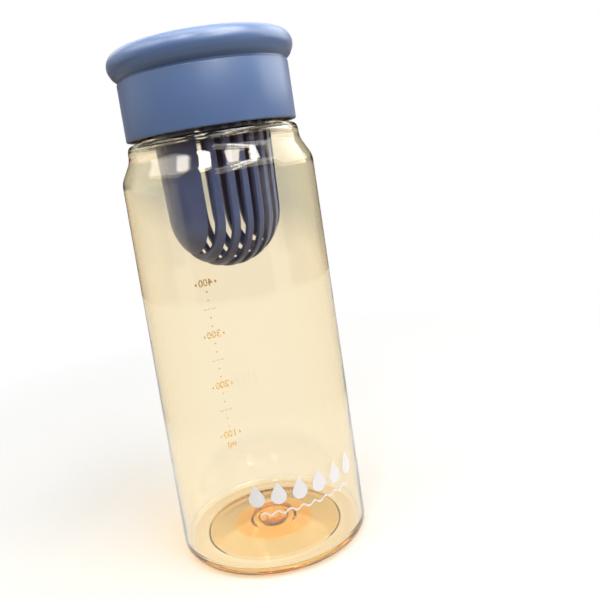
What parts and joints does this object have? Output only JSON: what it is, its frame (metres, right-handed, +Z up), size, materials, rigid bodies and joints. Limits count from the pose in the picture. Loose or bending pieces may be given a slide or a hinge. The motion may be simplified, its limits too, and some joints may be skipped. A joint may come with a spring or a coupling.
{
  "type": "sports water bottle",
  "caption": "Clear amber straight-sided drinking bottle with a blue screw lid, rolled rim and a slotted round-bottomed infuser basket under the lid.",
  "frame": {"origin": "centre of the foot, on the ground plane", "axes": "+Z up along the bottle's axis, out of the mouth; -Y towards the printed front"},
  "size_m": [0.078, 0.078, 0.2014],
  "materials": {
    "clear_amber": "clear amber tinted copolyester, polished, see-through",
    "lid_blue": "periwinkle blue polypropylene, fine satin moulding",
    "inner_blue": "the same blue polypropylene on the inner parts, satin",
    "silicone": "translucent white silicone, matt"
  },
  "bodies": {
    "bottle": {"bottle_body": "clear_amber"},
    "seal": {"lid_seal": "silicone"},
    "lid": {"lid_cover": "lid_blue", "lid_liner": "inner_blue"},
    "infuser": {"infuser_basket": "inner_blue"}
  },
  "joints": [
    {"name": "lid_rise", "type": "slide", "parent": "bottle", "child": "seal", "axis": [0, 0, 1], "range_m": [0, 0.076]},
    {"name": "lid_turn", "type": "hinge", "parent": "seal", "child": "lid", "pos_m": [0, 0, 0.185], "axis": [0, 0, 1], "range_deg": [0, 3420]},
    {"name": "infuser_pull", "type": "slide", "parent": "lid", "child": "infuser", "axis": [0, 0, -1], "range_m": [0, 0.04]}
  ],
  "couplings": [
    {"joint": "lid_rise", "follows": "lid_turn", "m_per_rad": 0.0012732}
  ]
}
